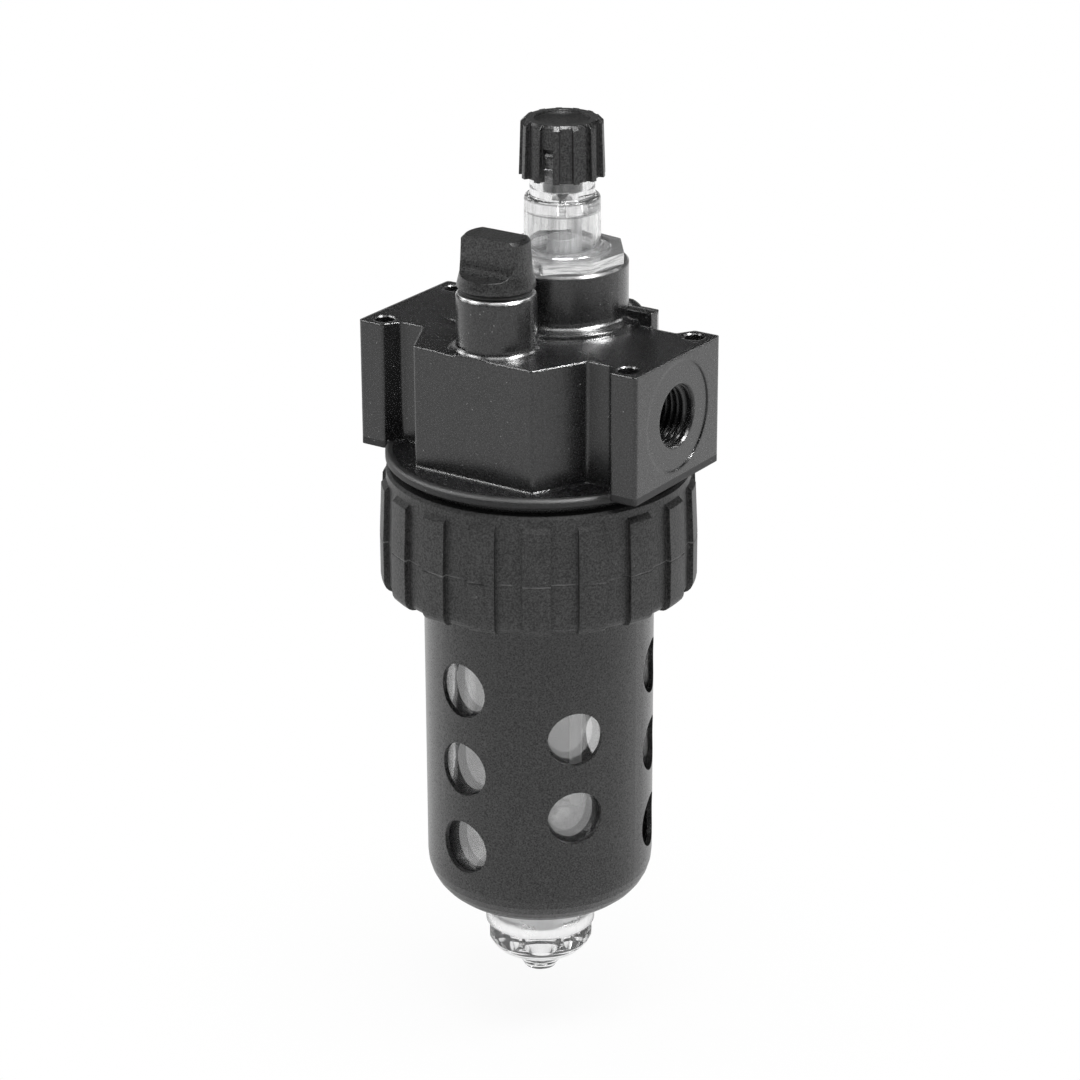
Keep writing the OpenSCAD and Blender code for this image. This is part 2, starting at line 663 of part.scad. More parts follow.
module flow_guide() {
    groove_r = guide_r - 2 * cord_r - cord_gap;
    color([0.82, 0.82, 0.78]) difference() {
        turned([[0, guide_bottom], [guide_r - 0.3, guide_bottom], [guide_r, guide_bottom + 0.3],
                [guide_r, guide_bottom + 1.6], [groove_r, guide_bottom + 1.6],
                [groove_r, guide_bottom + 1.6 + 2.2 * cord_r],
                [guide_r, guide_bottom + 1.6 + 2.2 * cord_r], [guide_r, guide_top - 0.5],
                [guide_r - 0.4, guide_top - 0.1], [0, guide_top - 0.1]], 0, guide_y);
        translate([0, 0, air_z]) rotate([0, 90, 0]) rotate_extrude()
            polygon([[0, -guide_r - past], [passage_r - 0.2, -guide_r - past], [passage_r - 0.2, -guide_r],
                     [throat_r, throat_start], [throat_r, throat_end], [chamber_r, throat_end],
                     [chamber_r, guide_r + past], [0, guide_r + past]]);
        translate([throat_end, -pocket_half, air_z])
            cube([knuckle_r * 2 + 0.6, 2 * pocket_half, flap_pin_z - air_z + knuckle_r + 0.2]);
        translate([flap_pin_x, guide_y + 2, flap_pin_z]) rotate([90, 0, 0])
            cylinder(r = flap_pin_r + 0.01, h = guide_r + 2 + past);
        post(drip_channel_r, air_z + 2, guide_top + past, 0, tower_y);
        translate([0, tower_y, air_z + 2]) rotate([90, 0, 0])
            cylinder(r = drip_channel_r, h = tower_y - throat_r + 2);
        post(guide_recess_r, guide_bottom - past, guide_bottom + 6, 0, guide_y);
    }
}

module flow_guide_seal() {
    color([0.1, 0.1, 0.1])
        o_ring(guide_r - cord_r - cord_gap / 2, cord_r, guide_bottom + 1.6 + 1.1 * cord_r, 0, guide_y);
}

module bypass_flap() {
    color([0.72, 0.72, 0.7]) difference() {
        union() {
            translate([flap_x, 0, air_z]) rotate([0, 90, 0]) cylinder(r = flap_r, h = flap_thick);
            translate([flap_x, -knuckle_half, air_z])
                cube([flap_thick, 2 * knuckle_half, flap_pin_z - air_z]);
            translate([flap_pin_x, knuckle_half, flap_pin_z]) rotate([90, 0, 0])
                cylinder(r = knuckle_r, h = 2 * knuckle_half);
        }
        translate([flap_pin_x, knuckle_half + past, flap_pin_z]) rotate([90, 0, 0])
            cylinder(r = flap_pin_r + running_gap, h = 2 * knuckle_half + 2 * past);
    }
}

module flap_pin() {
    color([0.7, 0.7, 0.72]) translate([flap_pin_x, guide_y + 1.8, flap_pin_z]) rotate([90, 0, 0])
        cylinder(r = flap_pin_r, h = guide_r + 1);
}

module check_poppet() {
    color([0.75, 0.65, 0.35]) turned([[0, plate_top - 0.8], [poppet_stem_r, plate_top - 0.8],
        [poppet_stem_r, valve_seat - running_gap - poppet_head], [poppet_r, valve_seat - running_gap - poppet_head],
        [poppet_r, valve_seat - running_gap], [0, valve_seat - running_gap]], -valve_x, 0);
}

// The spring's wire: rings of points along a helix, joined into a closed tube
module check_spring() {
    sides = 6;
    steps = spring_turns * 12;
    low = plate_top + spring_wire_r;
    high = valve_seat - running_gap - poppet_head - spring_wire_r;
    function ring_point(i, j) =
        let (t = i / steps, a = t * spring_turns * 360, b = j * 360 / sides,
             r = spring_r + spring_wire_r * cos(b))
        [r * cos(a), r * sin(a), low + (high - low) * t + spring_wire_r * sin(b)];
    points = [for (i = [0:steps], j = [0:sides - 1]) ring_point(i, j)];
    walls = [for (i = [0:steps - 1], j = [0:sides - 1])
        [i * sides + j, (i + 1) * sides + j, (i + 1) * sides + (j + 1) % sides, i * sides + (j + 1) % sides]];
    ends = [[for (j = [0:sides - 1]) j], [for (j = [sides - 1:-1:0]) steps * sides + j]];
    color([0.7, 0.7, 0.72]) translate([-valve_x, 0, 0]) polyhedron(points, concat(walls, ends));
}

module retaining_plate() {
    color([0.6, 0.6, 0.6]) difference() {
        post(plate_r, plate_bottom, plate_top);
        post(fitting_bore_r + 0.1, plate_bottom - past, plate_top + past, 0, siphon_y);
        post(poppet_stem_r + 0.15, plate_bottom - past, plate_top + past, -valve_x, 0);
        post(fill_hole_r, plate_bottom - past, plate_top + past, 0, -boss_y);
        post(guide_recess_r, plate_bottom - past, plate_top + past, 0, guide_y);
        for (p = screw_places) post(screw_r + 0.1, plate_bottom - past, plate_top + past, p[0], p[1]);
    }
}

module plate_screws() {
    color([0.7, 0.7, 0.72]) for (p = screw_places) difference() {
        turned([[0, plate_bottom - screw_head], [screw_head_r - 0.4, plate_bottom - screw_head],
                [screw_head_r, plate_bottom - screw_head + 0.5], [screw_head_r, plate_bottom],
                [screw_r, plate_bottom], [screw_r, -cavity_top + screw_reach],
                [0, -cavity_top + screw_reach + 0.4]], p[0], p[1]);
        translate([p[0] - screw_head_r - 0.4, p[1] - 0.35, plate_bottom - screw_head - past])
            cube([2 * screw_head_r + 0.8, 0.7, past + 0.7]);
    }
}

module siphon_fitting() {
    flange_r = fitting_r + 1.2;
    color([0.78, 0.68, 0.38]) difference() {
        turned([[0, fitting_end], [fitting_r - 0.5, fitting_end], [fitting_r - 0.5, plate_bottom - 1.3],
                [flange_r, plate_bottom - 1.3], [flange_r, plate_bottom - running_gap],
                [fitting_r, plate_bottom - running_gap], [fitting_r, fitting_top - 0.3],
                [fitting_r - 0.3, fitting_top], [0, fitting_top]], 0, siphon_y);
        post(siphon_r + 0.02, fitting_end - past, tube_top, 0, siphon_y);
        post(ball_seat_r, tube_top - past, ball_seat + past, 0, siphon_y);
        post(ball_r + 0.15, ball_seat, ball_roof, 0, siphon_y);
        post(0.7, ball_roof - past, fitting_top + past, 0, siphon_y);
    }
}

module siphon_ball() {
    color([0.8, 0.8, 0.82]) translate([0, siphon_y, ball_z]) sphere(r = ball_r, $fn = 48);
}

module siphon_tube() {
    color([0.9, 0.92, 0.9, 0.6]) difference() {
        post(siphon_r, -siphon_end, tube_top - running_gap, 0, siphon_y);
        post(siphon_bore_r, -siphon_end - past, tube_top + past, 0, siphon_y);
    }
}

module siphon_strainer() {
    color([0.75, 0.65, 0.4]) post(siphon_bore_r - 0.01, -siphon_end + 0.3, -siphon_end + 4, 0, siphon_y);
}

// The ring's profile from the radius inner outwards; rise lifts it to make the lugs
function ring_profile(inner, rise, top, flat) =
    concat([[inner, top], [ring_r - 0.7 + rise - flat, top], [ring_r - 0.5 + rise, top - flat - 0.2],
            [ring_r + rise, ring_part + 0.25], [ring_r + rise - 0.12, ring_part],
            [ring_r + rise, ring_part - 0.25]],
           arc([ring_r + rise - ring_corner, ring_bottom + ring_corner], ring_corner, 0, -90, 5),
           [[inner, ring_bottom]]);

module clamp_ring() {
    color([0.14, 0.14, 0.14]) difference() {
        union() {
            rotate_extrude() polygon(ring_profile(guard_lip_bore - past, 0, ring_top, 0.4));
            for (i = [0:lug_count - 1]) rotate(ring_turn + i * 360 / lug_count - lug_angle / 2)
                rotate_extrude(angle = lug_angle)
                    polygon(ring_profile(ring_bore_r + 0.8, lug_rise, ring_top - lug_start, 0.9));
        }
        post(ring_bore_r, lip_face, ring_top + past);
        post(guard_lip_bore, ring_bottom - past, lip_face + past);
    }
}

// The outside of the bowl below its tube: corner, boss, rounded end and nub
function bowl_outside() =
    concat(arc([bowl_r - bowl_corner, bowl_floor + bowl_corner], bowl_corner, 0, -90, 7),
           [[bowl_boss_r, bowl_floor]],
           arc([bowl_boss_r - boss_end_r, boss_end_z], boss_end_r, 0, -70, 8),
           [[nub_r + 0.8, bowl_tip + 3.3], [nub_r + 0.1, bowl_tip + 2.5], [nub_r - 0.1, bowl_tip + 1.7],
            [nub_r - 0.7, bowl_tip + 0.6], [nub_r - 1.8, bowl_tip], [0, bowl_tip]]);

module bowl() {
    groove_top = bowl_groove + 2.2 * bowl_cord_r;
    groove_r = spigot_r - 2 * bowl_cord_r - cord_gap;
    inner_corner = bowl_corner - 1;
    well_r = bowl_boss_r - 2;
    well_bottom = flats_top + 0.8;
    well_corner = 3;
    color([0.86, 0.9, 0.92, 0.5]) difference() {
        turned(concat(
            [[0, spigot_top], [spigot_r - 0.5, spigot_top], [spigot_r, spigot_top - 0.5],
             [spigot_r, groove_top], [groove_r, groove_top], [groove_r, bowl_groove],
             [spigot_r, bowl_groove], [spigot_r, bowl_lip_top], [lip_r, bowl_lip_top],
             [lip_r, bowl_lip_bottom], [bowl_r, bowl_lip_bottom]],
            bowl_outside()));
        turned(concat(
            [[0, spigot_top + past], [bowl_inner_r, spigot_top + past]],
            arc([bowl_inner_r - inner_corner, bowl_floor + bowl_wall + inner_corner], inner_corner, 0, -90, 6),
            [[well_r, bowl_floor + bowl_wall]],
            arc([well_r - well_corner, well_bottom + well_corner], well_corner, 0, -90, 5),
            [[0, well_bottom]]));
        difference() {
            post(bowl_boss_r + past, bowl_tip - past, flats_top);
            translate([0, 0, bowl_tip - 2 * past]) rotate(boss_flats_turn)
                linear_extrude(flats_top - bowl_tip + 3 * past)
                    polygon(eight_sides(boss_flats_r));
        }
    }
}

module bowl_seal() {
    color([0.1, 0.1, 0.1]) o_ring(spigot_r - bowl_cord_r - cord_gap / 2, bowl_cord_r,
                                   bowl_groove + 1.1 * bowl_cord_r);
}

module bowl_guard() {
    inner_corner = guard_corner - guard_wall;
    color([0.13, 0.13, 0.14]) difference() {
        turned(concat([[guard_inner_r, guard_top], [lip_r, guard_top], [lip_r, guard_face],
                       [guard_r, guard_face]],
                      arc([guard_r - guard_corner, -guard_bottom + guard_corner], guard_corner, 0, -90, 8),
                      [[guard_hole_r, -guard_bottom], [guard_hole_r, -guard_bottom + guard_wall]],
                      arc([guard_inner_r - inner_corner, -guard_bottom + guard_corner], inner_corner, -90, 0, 8)));
        for (column = [0:5], row = [0:2]) {
            long = column % 2 == 0;
            if (long || row < 2)
                rotate(window_turn + column * 60)
                    translate([guard_r - 6, 0, -window_depth + (long ? row - 1 : row - 0.5) * window_pitch])
                        rotate([0, 90, 0]) cylinder(r = window_r, h = 12);
        }
    }
}

body();
sight_dome();
dome_seal();
drip_guide();
needle_valve();
needle_seal();
adjusting_knob();
fill_plug();
fill_plug_seal();
flow_guide();
flow_guide_seal();
bypass_flap();
flap_pin();
check_poppet();
check_spring();
retaining_plate();
plate_screws();
siphon_fitting();
siphon_ball();
siphon_tube();
siphon_strainer();
clamp_ring();
bowl();
bowl_seal();
bowl_guard();
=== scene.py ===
"""The looks of an air line lubricator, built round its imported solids.

The solids keep their shapes and get their finishes here. The ridges of the ports' threads and the
check valve's spring are made here as meshes, in metres, in the frame of the solids.
"""

import json
import math

import bmesh
import bpy
from mathutils import Matrix, Vector


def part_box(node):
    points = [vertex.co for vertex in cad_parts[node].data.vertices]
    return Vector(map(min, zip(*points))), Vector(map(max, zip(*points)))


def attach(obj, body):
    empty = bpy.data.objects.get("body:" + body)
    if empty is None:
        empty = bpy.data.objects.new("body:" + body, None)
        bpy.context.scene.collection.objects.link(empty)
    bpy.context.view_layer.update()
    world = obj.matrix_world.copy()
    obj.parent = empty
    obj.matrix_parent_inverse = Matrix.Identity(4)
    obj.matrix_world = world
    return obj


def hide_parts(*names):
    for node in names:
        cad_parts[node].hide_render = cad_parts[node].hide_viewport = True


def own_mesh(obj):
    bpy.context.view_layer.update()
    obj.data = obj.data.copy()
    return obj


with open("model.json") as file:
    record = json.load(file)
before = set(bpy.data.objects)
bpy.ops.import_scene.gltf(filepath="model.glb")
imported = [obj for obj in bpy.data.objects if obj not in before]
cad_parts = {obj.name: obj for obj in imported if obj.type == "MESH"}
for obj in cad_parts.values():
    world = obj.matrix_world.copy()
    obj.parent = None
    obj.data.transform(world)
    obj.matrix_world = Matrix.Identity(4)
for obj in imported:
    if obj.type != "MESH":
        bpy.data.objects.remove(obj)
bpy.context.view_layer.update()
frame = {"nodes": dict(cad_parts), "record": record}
MM = 0.001
nodes = frame["nodes"]


# Places, sizes and travels taken from the solids, in metres. Heights count from the deck.
AIR_LINE = -12.9 * MM
HALF_SPAN = 34.6 * MM
PORT_ROOT = 6.58 * MM
THREAD_PITCH = 25.4 / 18 * MM
BOWL_DROP = 9 * MM
FLOOR_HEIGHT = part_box("bowl")[0].z - BOWL_DROP - 0.5 * MM
BOSS_Y, BOSS_R, BOSS_TOP = -15.2 * MM, 8.4 * MM, 12 * MM
DISC_TOP, DISC_R = -26.4 * MM, 32.3 * MM
FILLET_TOP = 2.4 * MM
TOWER_TOP = 12.9 * MM
DOME_Y = (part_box("sight_dome")[0].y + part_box("sight_dome")[1].y) / 2
FLANGE_TOP, DOME_STEP, DOME_CEILING, DOME_TOP = 15.3 * MM, 15.8 * MM, 23.7 * MM, 26.9 * MM
DOME_FOOT_R, GROOVE_INNER_R, GROOVE_OUTER_R = 8.3 * MM, 9.2 * MM, 10.1 * MM
RING_PART = -44.94 * MM
GUARD_BOTTOM = -130.5 * MM
FLATS_TOP = -138.2 * MM

# Where the lamps point
LAMPS_AIM = Vector((0, 0, -0.04))


# Shader building


class Tone:
    """A number that varies over a surface. An operator on it adds a Math node."""

    def __init__(self, finish, socket):
        self.finish = finish
        self.socket = socket

    def _with(self, operation, first, second, clamp=False):
        made = self.finish.node(
            "ShaderNodeMath", {"operation": operation, "use_clamp": clamp}, {0: first, 1: second}
        )
        return Tone(self.finish, made.outputs[0])

    def __add__(self, other):
        return self._with("ADD", self, other)

    __radd__ = __add__

    def __sub__(self, other):
        return self._with("SUBTRACT", self, other)

    def __rsub__(self, other):
        return self._with("SUBTRACT", other, self)

    def __mul__(self, other):
        return self._with("MULTIPLY", self, other)

    def __pow__(self, other):
        return self._with("POWER", self, other)

    def held(self):
        """The same number, kept from 0 to 1."""
        return self._with("ADD", self, 0.0, clamp=True)

    def eased(self, low, high):
        """0 at low and 1 at high, with a smooth ramp between."""
        made = self.finish.node(
            "ShaderNodeMapRange",
            {"interpolation_type": "SMOOTHSTEP"},
            {"Value": self, "From Min": low, "From Max": high},
        )
        return Tone(self.finish, made.outputs[0])


class Finish:
    """One material, or the world, whose nodes are made through node()."""

    def __init__(self, owner):
        owner.use_nodes = True
        self.owner = owner
        self.tree = owner.node_tree
        self.tree.nodes.clear()

    def node(self, kind, settings=None, inputs=None):
        """A node of that kind: its settings first, then the values or links of its sockets."""
        made = self.tree.nodes.new(kind)
        for name, value in (settings or {}).items():
            setattr(made, name, value)
        for name, value in (inputs or {}).items():
            if isinstance(value, Tone):
                value = value.socket
            if isinstance(value, bpy.types.NodeSocket):
                self.tree.links.new(value, made.inputs[name])
            else:
                made.inputs[name].default_value = value
        return made

    def tone(self, kind, output, settings=None, inputs=None):
        """One output of such a node, as a tone."""
        return Tone(self, self.node(kind, settings, inputs).outputs[output])

    def place(self):
        """Coordinates that stay with the piece, in metres."""
        return self.node("ShaderNodeTexCoord").outputs["Object"]

    def spot(self):
        """The three coordinates of place(), each as a tone."""
        parts = self.node("ShaderNodeSeparateXYZ", None, {0: self.place()})
        return [Tone(self, parts.outputs[i]) for i in range(3)]

    def stretched(self, *scale):
        """place(), scaled along each axis. A pattern on it is drawn out where the scale is under 1."""
        return self.node("ShaderNodeMapping", None, {"Vector": self.place(), "Scale": scale}).outputs[0]

    def away(self, x=0.0, y=0.0):
        """The distance from an upright axis at x, y."""
        east, north, _ = self.spot()
        return ((east - x) * (east - x) + (north - y) * (north - y)) ** 0.5

    def mixed(self, share, first, second):
        """One shader that turns into another as share goes from 0 to 1."""
        return self.node("ShaderNodeMixShader", None, {0: share, 1: first, 2: second}).outputs[0]

    def lit_through(self, solid):
        """That shader, with a lamp's light going straight through it, a little dimmed."""
        color = {"Color": (0.9, 0.91, 0.92, 1.0)}
        open_way = self.node("ShaderNodeBsdfTransparent", None, color).outputs[0]
        shadow = self.node("ShaderNodeLightPath").outputs["Is Shadow Ray"]
        return self.mixed(shadow, solid, open_way)

    def grain(self, size, detail=2.0, roughness=0.5, where=None):
        """Soft noise from 0 to 1, with lumps of that size in metres."""
        where = where or self.place()
        inputs = {"Vector": where, "Scale": 1 / size, "Detail": detail, "Roughness": roughness}
        return self.tone("ShaderNodeTexNoise", "Fac", None, inputs)

    def specks(self, size, share):
        """Round specks about size metres apart, each filling that share of its cell."""
        near = self.tone(
            "ShaderNodeTexVoronoi",
            "Distance",
            {"feature": "F1"},
            {"Vector": self.place(), "Scale": 1 / size, "Randomness": 1.0},
        )
        return near.eased(share, share * 0.4)

    def speckle(self, size, strength):
        """Sharp fine grain, 0.5 on average, that spreads further from it as strength grows."""
        fine = self.grain(size, roughness=0.7)
        return ((fine - 0.5) * strength + 0.5).held()

    def blended(self, share, first, second):
        """A colour between two colours."""
        made = self.node(
            "ShaderNodeMix",
            {"data_type": "RGBA", "blend_type": "MIX"},
            {0: share, 6: first, 7: second},
        )
        return made.outputs[2]

    def soft_edge(self, radius):
        """A normal that rounds the sharp edges of the solid, for the light that they catch."""
        return self.node("ShaderNodeBevel", {"samples": 6}, {"Radius": radius}).outputs[0]

    def near_edge(self, rounded):
        """1 where a rounded normal leaves the flat one, and 0 away from the edges."""
        flat = self.node("ShaderNodeNewGeometry").outputs["Normal"]
        same = self.tone("ShaderNodeVectorMath", "Value", {"operation": "DOT_PRODUCT"}, {0: rounded, 1: flat})
        return same.eased(0.995, 0.93)

    def sloped(self):
        """1 on the slopes that lean upwards, such as a chamfer round a top."""
        flat = self.node("ShaderNodeNewGeometry").outputs["Normal"]
        rise = self.tone("ShaderNodeSeparateXYZ", "Z", None, {0: flat})
        return rise.eased(0.25, 0.45) * rise.eased(0.98, 0.9)

    def line_at(self, height, half):
        """1 on a thin level line round the piece, and 0 elsewhere."""
        z = self.spot()[2]
        return z.eased(height - half, height) * z.eased(height + half, height)

    def relief(self, height, depth, below=None):
        """A normal bent by height, which stands depth metres high."""
        inputs = {"Height": height, "Distance": depth, "Strength": 1.0}
        if below is not None:
            inputs["Normal"] = below
        return self.node("ShaderNodeBump", None, inputs).outputs[0]

    def surface(self, **inputs):
        """The shader itself. The names of the sockets come with _ for a space."""
        named = {name.replace("_", " "): value for name, value in inputs.items()}
        shader = self.node("ShaderNodeBsdfPrincipled", None, named)
        return shader.outputs[0]

    def out(self, shader):
        """The material, with that shader as its surface."""
        self.node("ShaderNodeOutputMaterial", None, {"Surface": shader})
        return self.owner


def grey(level, blue=0.0):
    """A nearly neutral colour."""
    return (level, level, level + blue, 1.0)


def cast_black():
    """Satin black paint over a die casting, half bare on the boss's top and a little on the tower's."""
    f = Finish(bpy.data.materials.new("cast_black"))
    fine = f.speckle(0.34 * MM, 2.4)
    broad = f.grain(6 * MM)
    dust = f.specks(2.0 * MM, 0.09)
    z = f.spot()[2]
    boss_top = z.eased(BOSS_TOP - 0.24 * MM, BOSS_TOP - 0.16 * MM)
    near_boss = f.away(0, BOSS_Y).eased(BOSS_R + 1.2 * MM, BOSS_R + 0.6 * MM)
    tower_top = z.eased(TOWER_TOP - 0.2 * MM, TOWER_TOP - 0.12 * MM)
    bare = (boss_top * near_boss * 0.5 + tower_top * 0.05).held()
    paint = f.blended((fine * 0.8 + broad * 0.3 - 0.1).held(), grey(0.001), grey(0.027, 0.001))
    paint = f.blended(dust * 0.7, paint, grey(0.3))
    rounded = f.soft_edge(0.8 * MM)
    low = z.eased(DISC_TOP + 0.4 * MM, DISC_TOP + 0.2 * MM)
    rim = low * f.away().eased(DISC_R - 1.6 * MM, DISC_R - 1.0 * MM)
    feet = z.eased(0.05 * MM, 0.25 * MM) * z.eased(FILLET_TOP, FILLET_TOP - 0.4 * MM)
    lip = z.eased(TOWER_TOP - 1.0 * MM, TOWER_TOP - 0.7 * MM)
    edge = f.near_edge(rounded) * (1 - rim) * (1 - lip)
    return f.out(
        f.surface(
            Base_Color=f.blended(bare, paint, grey(0.7)),
            Metallic=bare,
            Roughness=(0.2 + fine * 0.1 + broad * 0.04) * (1 - edge * 0.5) + rim * 0.25 + lip * 0.16,
            Specular_IOR_Level=0.4,
            Coat_Weight=(0.25 + fine * 0.55) * (1 - edge * 0.5) * (1 - rim),
            Coat_Roughness=0.22,
            Normal=f.relief(fine * (1 - edge) * (1 - feet), 0.016 * MM, rounded),
        )
    )


def ring_black():
    """Matt black of the clamp ring, a little rubbed along its parting line."""
    f = Finish(bpy.data.materials.new("ring_black"))
    fine = f.speckle(0.42 * MM, 3.6)
    broad = f.grain(5 * MM, detail=4.0)
    z = f.spot()[2]
    wander = (f.grain(4 * MM) - 0.5) * (0.5 * MM)
    line = (z + wander - RING_PART) * (1 / MM)
    worn = (line * line).eased(0.04, 0.004) * broad.eased(0.36, 0.56)
    rubs = f.grain(1.2 * MM, detail=5.0, roughness=0.7).eased(0.64, 0.72) * broad.eased(0.44, 0.6)
    color = f.blended((fine * 0.8 + broad * 0.5 - 0.15).held(), grey(0.002), grey(0.034))
    color = f.blended((worn * 0.6 + rubs * 0.5).held(), color, grey(0.2))
    slope = f.sloped()
    return f.out(
        f.surface(
            Base_Color=color,
            Roughness=0.42 + fine * 0.14 + slope * 0.14,
            Specular_IOR_Level=0.4,
            Coat_Weight=fine * 0.8 * (1 - slope * 0.3),
            Coat_Roughness=0.55,
            Normal=f.relief(fine * (1 - worn), 0.024 * MM, f.soft_edge(0.3 * MM)),
        )
    )


def guard_black():
    """Smooth satin black of the bowl guard."""
    f = Finish(bpy.data.materials.new("guard_black"))
    fine = f.speckle(0.34 * MM, 3.4)
    broad = f.grain(10 * MM)
    return f.out(
        f.surface(
            Base_Color=f.blended((fine * 0.9 + broad * 0.3 - 0.15).held(), grey(0.001), grey(0.028)),
            Roughness=0.26 + fine * 0.1,
            Specular_IOR_Level=0.4,
            Coat_Weight=fine * 0.7,
            Coat_Roughness=0.3,
            Normal=f.relief(fine, 0.012 * MM, f.soft_edge(0.25 * MM)),
        )
    )


def knob_black():
    """Moulded black plastic of the knob and the plug."""
    f = Finish(bpy.data.materials.new("knob_black"))
    fine = f.speckle(0.36 * MM, 3.4)
    broad = f.grain(3 * MM)
    slope = f.sloped()
    return f.out(
        f.surface(
            Base_Color=f.blended((fine * 0.8 + broad * 0.4 - 0.15).held(), grey(0.001), grey(0.032)),
            Roughness=0.3 + fine * 0.16 + broad * 0.05 - slope * 0.06,
            Specular_IOR_Level=0.36,
            Coat_Weight=fine * 0.9 * (1 - slope * 0.3),
            Coat_Roughness=0.35,
            Normal=f.relief(fine, 0.024 * MM, f.soft_edge(0.32 * MM)),
        )
    )


def clear_moulding(name, tint, sheen, haze):
    """Clear plastic with upright flow marks.

    tint is the brightness of its darker marks, sheen the share that mirrors where the guard stands
    round it, and haze the share that is milky.
    """
    f = Finish(bpy.data.materials.new(name))
    flow = f.grain(5 * MM)
    streak = f.grain(0.9 * MM, detail=3.0, where=f.stretched(1.0, 1.0, 0.07))
    z = f.spot()[2]
    band = z.eased(FLATS_TOP - 0.1 * MM, FLATS_TOP + 0.1 * MM) * z.eased(GUARD_BOTTOM + 1 * MM, GUARD_BOTTOM)
    glass = f.surface(
        Base_Color=f.blended(streak.eased(0.35, 0.65), grey(tint), grey(0.99)),
        Roughness=0.01 + flow * 0.03 + band * 0.25,
        IOR=1.49,
        Specular_IOR_Level=0.7,
        Transmission_Weight=1.0,
        Normal=f.relief(flow + streak * 0.12, 0.03 * MM),
    )
    mirror = f.surface(Base_Color=grey(0.9), Metallic=1.0, Roughness=0.04)
    milk = f.surface(Base_Color=grey(0.8), Roughness=0.6, Specular_IOR_Level=0.3)
    guarded = z.eased(GUARD_BOTTOM + 1 * MM, GUARD_BOTTOM + 3 * MM)
    solid = f.mixed(guarded * sheen, f.mixed(haze + flow * haze, glass, milk), mirror)
    return f.out(f.lit_through(solid))


def dome_clear():
    """Clear plastic of the sight dome.

    Its walls have upright flow marks and painted dark lines of shade where they turn, and its flange is
    hazy, with level marks and a groove, where painted shade darkens the marks.
    """
    f = Finish(bpy.data.materials.new("dome_clear"))
    flow = f.grain(4 * MM)
    streak = f.grain(1.3 * MM, detail=4.0, roughness=0.6, where=f.stretched(1.0, 1.0, 0.1))
    z = f.spot()[2]
    flange = z.eased(DOME_STEP + 0.2 * MM, FLANGE_TOP)
    lay = f.grain(1.1 * MM, detail=4.0, roughness=0.6, where=f.stretched(0.15, 0.15, 2.0))
    radius = f.away(0, DOME_Y)
    past_inner = radius.eased(GROOVE_INNER_R, GROOVE_INNER_R + 0.4 * MM)
    groove = past_inner * radius.eased(GROOVE_OUTER_R, GROOVE_OUTER_R - 0.4 * MM)
    # Inside the groove the level marks are painted darker: painted shade in the groove, which also reaches
    # the milk colour and the mirror share
    marks = streak.eased(0.34, 0.6) * (1 - flange) + lay.eased(0.36, 0.6) * (1 - groove * 0.7) * flange
    # Painted shade: dark lines at the top's bend and at the ceiling, where the walls turn, blended into the
    # glass colour below
    turns = f.line_at(DOME_TOP - 0.5 * MM, 0.35 * MM) + f.line_at(DOME_CEILING, 0.3 * MM)
    streaks_and_groove_shade = f.blended(marks, grey(0.66), grey(1.0))
    glass = f.surface(
        Base_Color=f.blended((turns * 0.85).held(), streaks_and_groove_shade, grey(0.12)),
        Roughness=0.02 + flow * 0.04 + flange * 0.2,
        IOR=1.49,
        Specular_IOR_Level=0.7,
        Transmission_Weight=1.0,
        Normal=f.relief(flow + streak * 0.2, 0.05 * MM),
    )
    milk_color = f.blended(marks, grey(0.45), grey(1.0))
    milk = f.surface(Base_Color=milk_color, Roughness=0.35, Specular_IOR_Level=0.5)
    haze = 0.04 + flow * 0.06 + flange * 0.3
    mirror = f.surface(Base_Color=grey(0.95), Metallic=1.0, Roughness=0.12 + lay * 0.1)
    polished = flange * radius.eased(DOME_FOOT_R, DOME_FOOT_R + 0.5 * MM) * (0.2 + marks * 0.4)
    solid = f.mixed(polished, f.mixed(haze, glass, milk), mirror)
    return f.out(f.lit_through(solid))


def frosted(name, share):
    """Thin milky plastic, clear over that share."""
    f = Finish(bpy.data.materials.new(name))
    fine = f.grain(1.5 * MM)
    milk = f.surface(Base_Color=grey(0.8), Roughness=0.3 + fine * 0.1)
    way = f.node("ShaderNodeBsdfTransparent", None, {"Color": grey(0.93)}).outputs[0]
    return f.out(f.mixed((share + fine * 0.1).held(), milk, way))


def rubber_black():
    """Dull black rubber of the seals."""
    f = Finish(bpy.data.materials.new("rubber_black"))
    fine = f.grain(0.2 * MM)
    return f.out(
        f.surface(
            Base_Color=f.blended(fine, grey(0.008), grey(0.02)),
            Roughness=0.5 + fine * 0.2,
            Normal=f.relief(fine, 0.01 * MM),
        )
    )


def bare_metal(name, color, dark, roughness):
    """Turned metal with fine tool rings."""
    f = Finish(bpy.data.materials.new(name))
    rings = f.grain(1.2 * MM, detail=3.0, where=f.stretched(1.0, 1.0, 14.0))
    return f.out(
        f.surface(
            Base_Color=f.blended(rings, color, dark),
            Metallic=1.0,
            Roughness=roughness + rings * 0.15,
            Normal=f.relief(rings, 0.01 * MM),
        )
    )


# The finish of each material slot
FINISHES = {
    "cast_body": cast_black(),
    "ring_paint": ring_black(),
    "guard_plastic": guard_black(),
    "black_plastic": knob_black(),
    "clear_plastic": clear_moulding("clear_plastic", 0.93, 0.13, 0.02),
    "seal_rubber": rubber_black(),
    "plated_metal": bare_metal("plated_metal", grey(0.62), grey(0.45), 0.25),
    "valve_brass": bare_metal("valve_brass", (0.72, 0.56, 0.3, 1.0), (0.55, 0.4, 0.2, 1.0), 0.25),
    "pale_plastic": frosted("pale_plastic", 0.6),
    "tube_plastic": frosted("tube_plastic", 0.25),
}


# Solids whose finish differs a little from that of their slot
OWN_FINISHES = {
    "sight_dome": dome_clear(),
    "needle_valve": bare_metal("needle_steel", grey(0.1), grey(0.05), 0.3),
}


